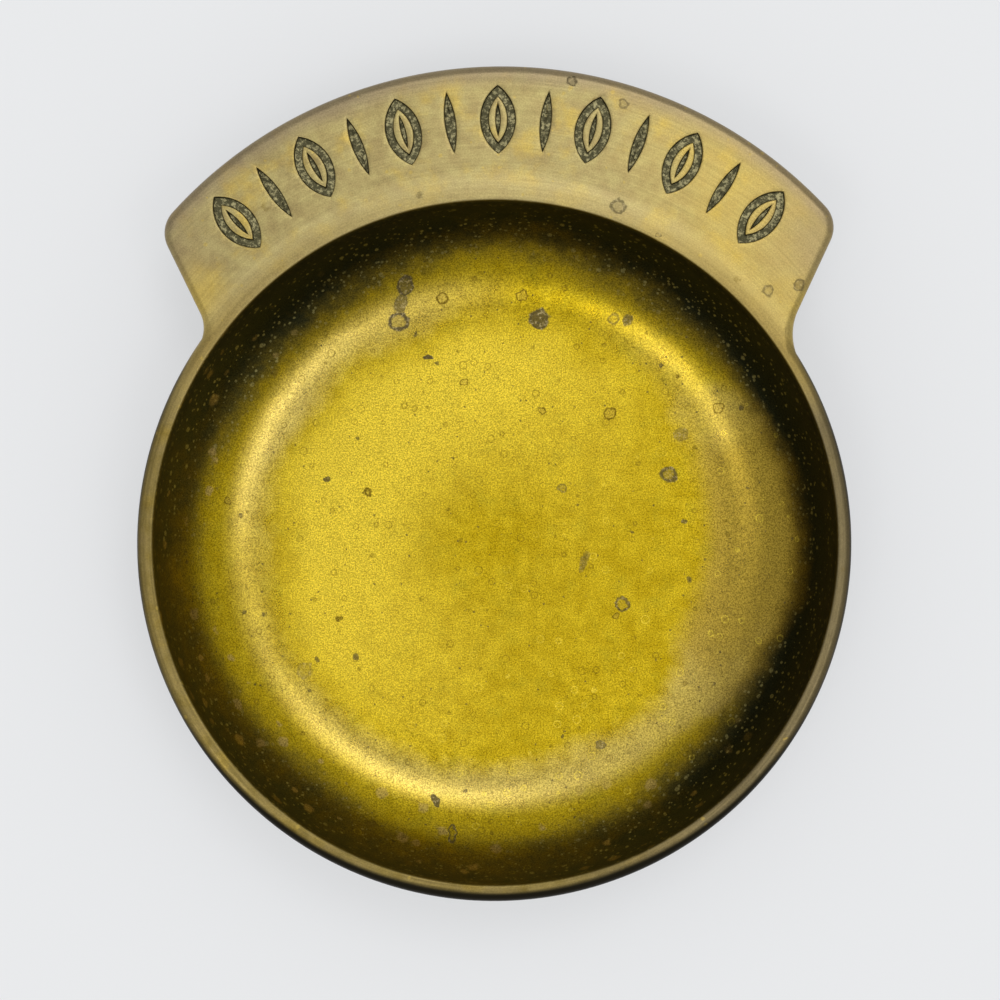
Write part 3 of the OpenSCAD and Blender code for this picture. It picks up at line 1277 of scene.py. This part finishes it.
@dataclass(frozen=True)
class ContactGlue:
    """The dried glue between the felt and the casting."""

    base: Colour = srgb(201, 168, 90)
    thick: Colour = srgb(160, 120, 50)

    def dress(self) -> bpy.types.Material:
        """Build the material.

        Returns:
            The material.
        """
        paint = Finish("contact_glue", Roughness=0.35)
        paint.feed("Base Color", paint.mix(paint.grain(300, 3), self.base, self.thick))
        return paint.material


@dataclass(frozen=True)
class Lamp:
    """A round soft lamp that faces the tray.

    azimuth is where it hangs, in degrees from +X towards +Y, and tilt how far from straight above.
    size is its diameter in metres, and glow how bright its face looks, where 1 is white.
    """

    name: str
    azimuth: float
    tilt: float
    size: float
    glow: float


LAMPS = (
    Lamp("overhead", azimuth=90, tilt=10, size=1.4, glow=0.11),
    Lamp("lower_right", azimuth=-32, tilt=22, size=0.4, glow=2.5),
    Lamp("upper", azimuth=66, tilt=22, size=0.45, glow=2.9),
    Lamp("lower_left", azimuth=231, tilt=22, size=0.36, glow=3.5),
    Lamp("left", azimuth=195, tilt=26, size=0.3, glow=0.7),
)


@dataclass
class Studio:
    """The floor, the soft lamps and the sky of a plain pale studio."""

    floor_size: float = 6.0
    reach: float = 1.2
    sky: float = 0.74
    floor_glow: float = 0.6

    def hang(self, lamp: Lamp) -> None:
        """Hang one lamp at its angle, at the studio's reach from the tray.

        Args:
            lamp: the lamp.
        """
        data = bpy.data.lights.new(lamp.name, "AREA")
        data.shape, data.size = "DISK", lamp.size
        data.energy = lamp.glow * math.pi * math.pi * (lamp.size / 2) ** 2
        hung = bpy.data.objects.new(lamp.name, data)
        a, t = math.radians(lamp.azimuth), math.radians(lamp.tilt)
        way = Vector((math.sin(t) * math.cos(a), math.sin(t) * math.sin(a), math.cos(t)))
        hung.location = way * self.reach
        hung.rotation_euler = way.to_track_quat("Z", "Y").to_euler()
        bpy.context.scene.collection.objects.link(hung)

    def build(self) -> None:
        """Lay the floor, hang the lamps and light the sky."""
        bm = bmesh.new()
        bmesh.ops.create_grid(bm, x_segments=2, y_segments=2, size=self.floor_size / 2 / MM)
        floor = make_piece(bm, "studio_floor", 30)
        paint = Finish("pale_floor", Roughness=0.8, Base_Color=srgb(247, 248, 249))
        rays = ("Camera", "Glossy", "Transmission")
        seen = [paint.node("ShaderNodeLightPath", {}, {}, f"Is {ray} Ray") for ray in rays]
        share = (seen[0] + seen[1] + seen[2]) * self.floor_glow
        glow = paint.node("ShaderNodeEmission", {}, {"Color": srgb(226, 227, 228), "Strength": 1.0})
        lit = Socket(paint, paint.shader.outputs[0])
        mixed = paint.node("ShaderNodeMixShader", {}, {0: share, 1: lit, 2: glow})
        paint.tree.links.new(mixed.socket, paint.tree.nodes["Material Output"].inputs["Surface"])
        floor.data.materials.append(paint.material)
        for lamp in LAMPS:
            self.hang(lamp)
        sky = bpy.data.worlds.new("sky")
        bpy.context.scene.world = sky
        sky.use_nodes = True
        background = sky.node_tree.nodes["Background"]
        background.inputs["Color"].default_value = srgb(252, 253, 255)
        background.inputs["Strength"].default_value = self.sky
        bpy.context.scene.view_settings.view_transform = "Standard"


@dataclass
class Camera:
    """The camera, straight above the tray, framed as in the photograph."""

    above: float = 450.0
    lens: float = 91.45
    aim: tuple[float, float] = (1.1, 7.8)
    roll: float = -0.55

    def build(self, rim_h: float) -> None:
        """Make the camera and set it as the scene's.

        Args:
            rim_h: height of the rim.
        """
        data = bpy.data.cameras.new("camera")
        data.lens, data.sensor_width = self.lens, 36
        data.clip_start, data.clip_end = 0.05, 20
        eye = bpy.data.objects.new("camera", data)
        eye.location = (self.aim[0] * MM, self.aim[1] * MM, (rim_h + self.above) * MM)
        eye.rotation_euler = (0, 0, math.radians(self.roll))
        bpy.context.scene.collection.objects.link(eye)
        bpy.context.scene.camera = eye


def place_piece(
    piece: bpy.types.Object, material: bpy.types.Material, node: str
) -> None:
    """Dress a piece and put it on the tray in the place of its CAD node.

    Args:
        piece: the object.
        material: its finish.
        node: the CAD node's name.
    """
    piece.data.materials.clear()
    piece.data.materials.append(material)
    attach(piece, "root")
    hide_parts(node)
    log.info("%s: %d faces, in place of %s", piece.name, len(piece.data.polygons), node)


def main() -> None:
    """Build the tray, the felt, the studio and the camera."""
    logging.basicConfig(level=logging.INFO, format="%(name)s: %(message)s")
    low, high = (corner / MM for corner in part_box("tray_casting"))
    Camera().build(high.z)
    bowl = Bowl(-low.x, high.z)
    plate = Plate(-low.x, high.z, high.y)
    place_piece(Casting(bowl, plate).build(), AgedBrass().dress(), "tray_casting")
    felt_box = [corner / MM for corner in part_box("base_felt")]
    felt = Felt(felt_box[1].x, felt_box[1].z)
    pad = felt.build()
    place_piece(pad, GreenFelt().dress(), "base_felt")
    width = 2 * felt.r * MM
    math.pi * (felt.r * MM) ** 2
    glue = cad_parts["felt_adhesive"]
    glue.data.materials.clear()
    glue.data.materials.append(ContactGlue().dress())
    Studio().build()


if __name__ == "__main__":
    main()
